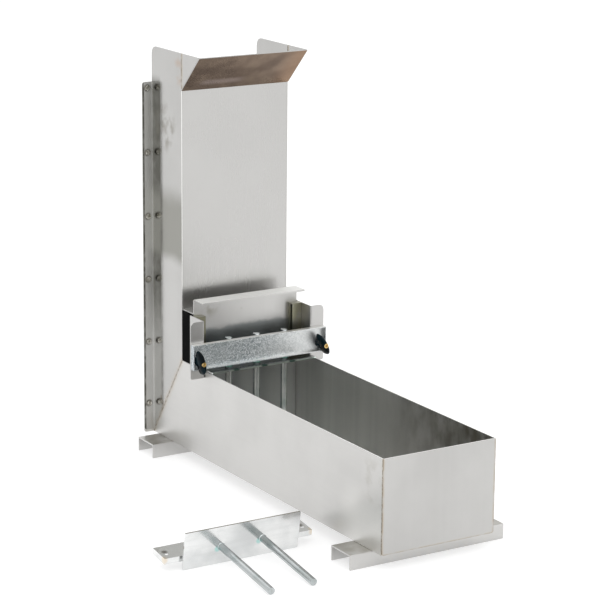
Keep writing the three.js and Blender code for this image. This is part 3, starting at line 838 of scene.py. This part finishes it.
def bead(built, start, end, out, width, height, pitch=1.5 * MM):
    """A weld bead from start to end on a surface that faces out: a low rounded strip with ripples."""
    along = (end - start).normalized()
    across = along.cross(out).normalized()
    steps = max(8, int((end - start).length / pitch))
    arc = [math.pi * i / 6 for i in range(7)]
    rings = []
    for i in range(steps + 1):
        centre = start.lerp(end, i / steps)
        taper = min(1.0, 0.35 + min(i, steps - i) * 0.3)
        ripple = 0.16 * math.sin(i * 1.9) + 0.08 * math.sin(i * 0.73)
        swell = taper * (1.0 + ripple)
        half_width = width / 2 * swell
        rise = height * swell
        rings.append([
            built.verts.new(centre + across * (math.cos(a) * half_width) + out * (math.sin(a) * rise))
            for a in arc
        ])
    for before, after in zip(rings, rings[1:]):
        for j in range(len(arc) - 1):
            built.faces.new((before[j], before[j + 1], after[j + 1], after[j]))
        built.faces.new((before[-1], before[0], after[0], after[-1]))
    built.faces.new(rings[0])
    built.faces.new(rings[-1])


def upright_bead(built, x, out, y, bottom, top, width=2.6 * MM, height=0.4 * MM):
    """A bead that runs straight up a side panel's face."""
    bead(built, Vector((x, y, bottom)), Vector((x, y, top)), out, width, height)


def ring_bead(built, centre, axis, radius, thickness, steps=40):
    """A fillet weld round a rod, on a plate that faces along axis."""
    side = axis.orthogonal().normalized()
    other = axis.cross(side).normalized()
    arc = [2 * math.pi * j / 8 for j in range(8)]
    rings = []
    for i in range(steps):
        turn = 2 * math.pi * i / steps
        outward = side * math.cos(turn) + other * math.sin(turn)
        size = thickness * (1.0 + 0.15 * math.sin(5 * turn) + 0.1 * math.sin(13 * turn))
        rings.append([
            built.verts.new(centre + outward * (radius + math.cos(a) * size) + axis * (math.sin(a) * size))
            for a in arc
        ])
    for i in range(steps):
        before, after = rings[i], rings[(i + 1) % steps]
        for j in range(len(arc)):
            k = (j + 1) % len(arc)
            built.faces.new((before[j], before[k], after[k], after[j]))


def thread(built, axis_point, direction, length, radius=3 * MM, pitch=1 * MM, depth=0.45 * MM, turn_steps=16):
    """A screw thread, M6 unless told otherwise, that winds round a rod as one helical ridge."""
    side = direction.orthogonal().normalized()
    other = direction.cross(side).normalized()
    steps = int(length / pitch * turn_steps)
    profile = ((-0.42, -0.15), (0.0, 1.0), (0.42, -0.15))
    crest = radius + 0.02 * MM
    rings = []
    for i in range(steps + 1):
        turn = 2 * math.pi * i / turn_steps
        outward = side * math.cos(turn) + other * math.sin(turn)
        base = axis_point + direction * (pitch * i / turn_steps)
        rings.append([
            built.verts.new(base + outward * (crest + depth * (rise - 1)) + direction * (pitch * shift))
            for shift, rise in profile
        ])
    for before, after in zip(rings, rings[1:]):
        for j in range(len(profile)):
            k = (j + 1) % len(profile)
            built.faces.new((before[j], before[k], after[k], after[j]))
    built.faces.new(rings[0])
    built.faces.new(rings[-1])


def side_welds(sign):
    """The outer welds of one side: the mitre seam, the seam by the cheek and the trough's front corner."""
    face = sign * HALF
    out = Vector((sign, 0, 0))

    def make(built):
        seam = [Vector((face, p.y, p.z)) for p in (SEAM_HIGH, SEAM_LOW)]
        inset = (seam[1] - seam[0]).normalized() * 4 * MM
        bead(built, seam[0] + inset, seam[1] - inset, out, width=2.6 * MM, height=0.35 * MM)
        upright_bead(built, face, out, HOPPER_FRONT - 0.15 * MM, LIP_BEND + 3 * MM, HOPPER_TOP - 1.5 * MM)
        upright_bead(built, face, out, front_high.y + 0.15 * MM, TROUGH_BOTTOM + 6 * MM, TROUGH_TOP - 2 * MM,
                     width=2.0 * MM, height=0.3 * MM)
    return make


def inner_welds(sign):
    """The same cheek seam on the inside of the hopper, and the trough's inner front corner."""
    face = sign * INSIDE
    out = Vector((-sign, 0, 0))

    def make(built):
        upright_bead(built, face, out, HOPPER_FRONT - 0.15 * MM, LIP_BEND + 6 * MM, HOPPER_TOP - 1.5 * MM)
        diagonal = Vector((-sign, 1, 0)).normalized()
        corner = Vector((face, front_high.y, 0))
        low = corner + Vector((0, 0, TROUGH_BOTTOM + 4 * MM))
        high = corner + Vector((0, 0, TROUGH_TOP - 2 * MM))
        bead(built, low, high, diagonal, width=2.4 * MM, height=0.9 * MM)
    return make


def bracket_welds(sign):
    """Short fillets where the gate bracket's wall is welded to the trough's side."""
    out = Vector((sign, 0, 0))

    def make(built):
        x = sign * (HALF + 0.2 * MM)
        z = bracket_low.z - 0.2 * MM
        for y in (bracket_low.y + 8 * MM, bracket_high.y - 22 * MM):
            bead(built, Vector((x, y, z)), Vector((x, y + 14 * MM, z)), out, width=4 * MM, height=1.4 * MM)
    return make


def comb_rod_welds(built):
    """Rings round the fitted comb's rods on both faces of the shelf plate."""
    for rod in COMB_RODS:
        low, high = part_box(f"comb_rod_{rod}")
        centre = (low + high) / 2
        for z in (shelf_low.z, shelf_high.z):
            place = Vector((centre.x, centre.y, z))
            ring_bead(built, place, UPWARD, ROD_RADIUS + 0.6 * MM, thickness=2.6 * MM)


def spare_rod_welds(built):
    """Thin rings where the spare comb's rods leave its plate."""
    for exit_point, direction in spare_rod_exits():
        ring_bead(built, exit_point, direction, ROD_RADIUS + 0.1 * MM, thickness=0.9 * MM)


def screw_threads(built):
    """The threads of the rear screws beyond their nuts."""
    for side in ("left", "right"):
        for number in SCREW_NUMBERS:
            low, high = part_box(f"{side}_rear_screw_{number}")
            nut_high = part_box(f"{side}_rear_nut_{number}")[1]
            centre = (low + high) / 2
            start = Vector((centre.x, nut_high.y - 1 * MM, centre.z))
            thread(built, start, BACKWARD, high.y - start.y - 0.6 * MM)


for sign, side in ((-1, "left"), (1, "right")):
    new_piece(f"{side}_outer_welds", side_welds(sign), "frame", weld)
    new_piece(f"{side}_inner_welds", inner_welds(sign), "frame", weld)
    new_piece(f"{side}_bracket_welds", bracket_welds(sign), "frame", weld)

ZINC = "zinc_plated_steel"
new_piece("comb_rod_welds", comb_rod_welds, "comb", green_weld)
new_piece("spare_comb_rod_welds", spare_rod_welds, "spare_comb", by_slot[ZINC])
new_piece("rear_screw_threads", screw_threads, "frame", screws)


# ------------------------------------------------------------------ floor, light and camera

# The photo's camera, fitted to the feeder's straight edges. Azimuth 0 looks along +Y.
CAMERA_PLACE = (-2.4153, -3.4580, 1.5618)
CAMERA_AZIMUTH = math.radians(-31.663)
CAMERA_ELEVATION = math.radians(14.309)
CAMERA_ROLL = math.radians(0.529)
SENSOR_WIDTH = 36                  # millimetres
FOCAL_LENGTH = 144.25              # millimetres
LENS_SHIFT = (-0.0007, -0.0025)    # across and up, in widths of the sensor


def floor_material(glow=0.56):
    """A grey floor that glows up to white, so that shadows on it stay faint."""
    graph = Graph("studio_floor")
    grey = (0.54, 0.54, 0.54)
    pale_grey = (0.56, 0.56, 0.56)
    colour = graph.mix(graph.noise(2, 2), grey, pale_grey)
    graph.shader.inputs["Emission Color"].default_value = (1.0, 1.0, 1.0, 1.0)
    graph.shader.inputs["Emission Strength"].default_value = glow
    return graph.finish(colour, 0.9, metallic=0.0)


def studio_floor(size=14.0):
    """A square floor, this many metres wide, just under the feet."""
    mesh = bpy.data.meshes.new("studio_floor")
    half = size / 2
    corners = [(-half, -half, 0), (half, -half, 0), (half, half, 0), (-half, half, 0)]
    mesh.from_pydata(corners, [], [(0, 1, 2, 3)])
    floor = bpy.data.objects.new("studio_floor", mesh)
    floor.location.z = cad_box[0].z - 0.2 * MM
    floor.data.materials.append(floor_material())
    bpy.context.scene.collection.objects.link(floor)


def studio_world(colour=(1.0, 1.0, 1.0), strength=1.06):
    """Even white light from all round."""
    world = bpy.data.worlds.new("studio")
    world.use_nodes = True
    background = world.node_tree.nodes["Background"]
    background.inputs["Color"].default_value = (*colour, 1.0)
    background.inputs["Strength"].default_value = strength
    bpy.context.scene.world = world


def area_light(name, place, target, size, power):
    """A rectangular light that looks at the target."""
    light = bpy.data.lights.new(name, "AREA")
    light.shape = "RECTANGLE"
    light.size, light.size_y = size
    light.energy = power
    lamp = bpy.data.objects.new(name, light)
    lamp.location = place
    lamp.rotation_mode = "QUATERNION"
    lamp.rotation_quaternion = (Vector(target) - Vector(place)).to_track_quat("-Z", "Y")
    bpy.context.scene.collection.objects.link(lamp)


def photo_camera():
    """The camera stands to the front left and a little above the feeder, far back with a long lens."""
    horizontal = math.cos(CAMERA_ELEVATION)
    back = Vector((math.sin(CAMERA_AZIMUTH) * horizontal, -math.cos(CAMERA_AZIMUTH) * horizontal,
                   math.sin(CAMERA_ELEVATION)))
    level_right = Vector((math.cos(CAMERA_AZIMUTH), math.sin(CAMERA_AZIMUTH), 0))
    level_up = back.cross(level_right)
    right = level_right * math.cos(CAMERA_ROLL) + level_up * math.sin(CAMERA_ROLL)
    up = back.cross(right)
    data = bpy.data.cameras.new("camera")
    data.sensor_width = SENSOR_WIDTH
    data.lens = FOCAL_LENGTH
    data.shift_x, data.shift_y = LENS_SHIFT
    data.clip_end = 50
    camera = bpy.data.objects.new("camera", data)
    turn = Matrix((right, up, back)).transposed().to_4x4()
    camera.matrix_world = Matrix.Translation(CAMERA_PLACE) @ turn
    bpy.context.scene.collection.objects.link(camera)
    bpy.context.scene.camera = camera


middle = (cad_box[0] + cad_box[1]) / 2
studio_floor()
studio_world()
area_light("key", place=(-2.2, -1.6, 3.2), target=middle, size=(2.4, 1.8), power=18)
area_light("fill", place=(2.6, -2.4, 2.2), target=middle, size=(2.0, 2.0), power=8)
area_light("back", place=(-0.5, 3.2, 2.6), target=middle, size=(2.6, 1.4), power=8)
photo_camera()
bpy.context.scene.view_settings.view_transform = "Standard"
bpy.context.scene.view_settings.look = "None"

bpy.context.view_layer.update()
